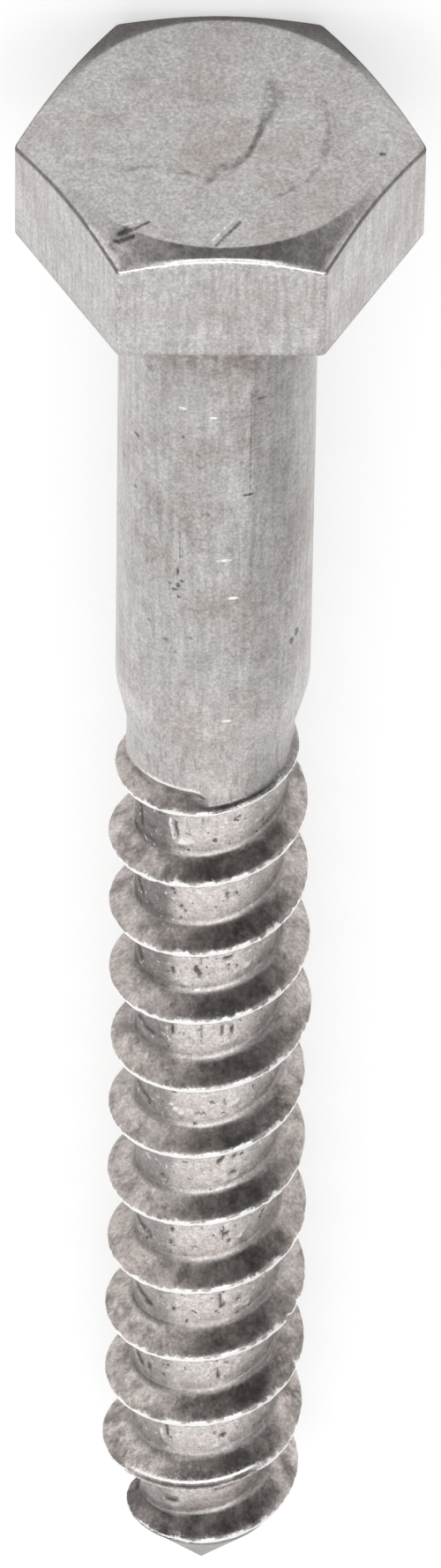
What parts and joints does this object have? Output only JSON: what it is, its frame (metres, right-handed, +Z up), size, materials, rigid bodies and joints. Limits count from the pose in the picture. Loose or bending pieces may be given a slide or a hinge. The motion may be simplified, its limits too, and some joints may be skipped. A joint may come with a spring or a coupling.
{
  "type": "lag screw",
  "caption": "Hexagon head wood screw with a plain shank, a step down to a coarse right-hand wood thread and a cone point, lying at rest.",
  "frame": {"origin": "on the screw's axis, in the plane of the bearing face under the head", "axes": "+X along the screw towards the head, the tip towards -X; +Z up, out of the head's upper flat; +Y across the head's corners. The screw lies as it comes to rest, so its axis dips 2.3 degrees towards the tip and the ground is 8.49 mm below the origin."},
  "size_m": [0.1021, 0.0196, 0.0172],
  "materials": {
    "satin_steel": "satin, cold formed and pickled"
  },
  "bodies": {
    "root": {"lag_screw": "satin_steel"}
  },
  "joints": []
}
